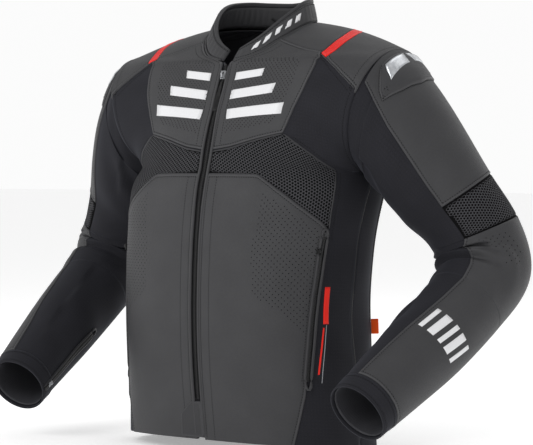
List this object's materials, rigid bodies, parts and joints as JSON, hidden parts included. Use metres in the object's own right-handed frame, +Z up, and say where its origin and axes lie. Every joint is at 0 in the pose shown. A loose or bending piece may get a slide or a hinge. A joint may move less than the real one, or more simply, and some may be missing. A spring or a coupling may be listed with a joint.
{
  "type": "riding jacket",
  "caption": "Short leather riding jacket with stand collar, pre-bent sleeves on shoulder and elbow joints, stretch and mesh panels, and sliding zips.",
  "frame": {"origin": "centre of the neck opening at the height of the collar seam", "axes": "+X towards the wearer's left, +Y towards the wearer's back, +Z up"},
  "size_m": [0.903, 0.3956, 0.7222],
  "materials": {
    "leather": "matt cowhide with a fine grain",
    "softshell": "matt stretch cloth",
    "mesh": "open hexagonal air mesh",
    "lining": "smooth woven lining",
    "red_leather": "smooth coloured leather",
    "black_trim": "moulded and woven trim",
    "metal": "satin metal",
    "orange_tape": "woven tape"
  },
  "bodies": {
    "torso": {"front_leather_left": "leather", "front_leather_right": "leather", "chest_yoke_left": "leather", "chest_yoke_right": "leather", "shoulder_leather_left": "leather", "shoulder_leather_right": "leather", "shoulder_outer_left": "leather", "shoulder_outer_right": "leather", "pocket_welt_left": "leather", "pocket_welt_right": "leather", "waist_adjuster_left": "leather", "waist_adjuster_right": "leather", "back_yoke": "leather", "back_leather": "leather", "collar": "leather", "zip_end_patch": "leather", "front_softshell_left": "softshell", "front_softshell_right": "softshell", "back_side_left": "softshell", "back_side_right": "softshell", "back_stretch": "softshell", "chest_mesh_left": "mesh", "chest_mesh_right": "mesh", "lining_left": "lining", "lining_right": "lining", "shoulder_stripe_left": "red_leather", "shoulder_stripe_right": "red_leather", "pocket_tag": "red_leather", "collar_trim": "black_trim", "main_zip_chain": "black_trim", "hang_loop": "black_trim", "side_tab": "orange_tape"},
    "upper_sleeve_left": {"upper_leather_left": "leather", "upper_softshell_left": "softshell", "elbow_mesh_left": "mesh", "shoulder_cup_left": "leather", "shoulder_plate_left": "metal", "sleeve_lining_left": "lining"},
    "forearm_left": {"elbow_section_left": "leather", "forearm_leather_left": "leather", "forearm_softshell_left": "softshell", "cuff_band_left": "softshell", "forearm_lining_left": "lining"},
    "pocket_zip_left": {"pocket_slider_left": "black_trim"},
    "cuff_zip_left": {"cuff_slider_left": "metal"},
    "upper_sleeve_right": {"upper_leather_right": "leather", "upper_softshell_right": "softshell", "elbow_mesh_right": "mesh", "shoulder_cup_right": "leather", "shoulder_plate_right": "metal", "sleeve_lining_right": "lining"},
    "forearm_right": {"elbow_section_right": "leather", "forearm_leather_right": "leather", "forearm_softshell_right": "softshell", "cuff_band_right": "softshell", "forearm_lining_right": "lining"},
    "pocket_zip_right": {"pocket_slider_right": "black_trim"},
    "cuff_zip_right": {"cuff_slider_right": "metal"},
    "main_zip": {"main_zip_slider": "metal"},
    "main_zip_tab": {"main_zip_puller": "black_trim"}
  },
  "joints": [
    {"name": "shoulder_left", "type": "hinge", "parent": "torso", "child": "upper_sleeve_left", "pos_m": [0.24, 0.007, -0.123], "axis": [-0.9659, 0, 0.2588], "range_deg": [-15, 45]},
    {"name": "elbow_left", "type": "hinge", "parent": "upper_sleeve_left", "child": "forearm_left", "pos_m": [0.379, 0.074, -0.368], "axis": [-0.8692, 0.3531, -0.3461], "range_deg": [-60, 30], "deforming": ["elbow_section_left"]},
    {"name": "pocket_zip_slide_left", "type": "slide", "parent": "torso", "child": "pocket_zip_left", "axis": [-0.0997, -0.1483, -0.9839], "range_m": [0, 0.07]},
    {"name": "cuff_zip_slide_left", "type": "slide", "parent": "forearm_left", "child": "cuff_zip_left", "axis": [0.0826, 0.848, 0.5236], "range_m": [0, 0.05]},
    {"name": "shoulder_right", "type": "hinge", "parent": "torso", "child": "upper_sleeve_right", "pos_m": [-0.24, 0.007, -0.123], "axis": [-0.9659, 0, -0.2588], "range_deg": [-15, 45]},
    {"name": "elbow_right", "type": "hinge", "parent": "upper_sleeve_right", "child": "forearm_right", "pos_m": [-0.379, 0.074, -0.368], "axis": [-0.8692, -0.3531, 0.3461], "range_deg": [-60, 30], "deforming": ["elbow_section_right"]},
    {"name": "pocket_zip_slide_right", "type": "slide", "parent": "torso", "child": "pocket_zip_right", "axis": [0.0997, -0.1483, -0.9839], "range_m": [0, 0.07]},
    {"name": "cuff_zip_slide_right", "type": "slide", "parent": "forearm_right", "child": "cuff_zip_right", "axis": [-0.0826, 0.848, 0.5236], "range_m": [0, 0.05]},
    {"name": "main_zip_slide", "type": "slide", "parent": "torso", "child": "main_zip", "axis": [0, -0.3588, -0.9334], "range_m": [0, 0.06]},
    {"name": "main_zip_tab_swing", "type": "hinge", "parent": "main_zip", "child": "main_zip_tab", "pos_m": [0, -0.10455, -0.07228], "axis": [-1, 0, 0], "range_deg": [0, 100]}
  ]
}
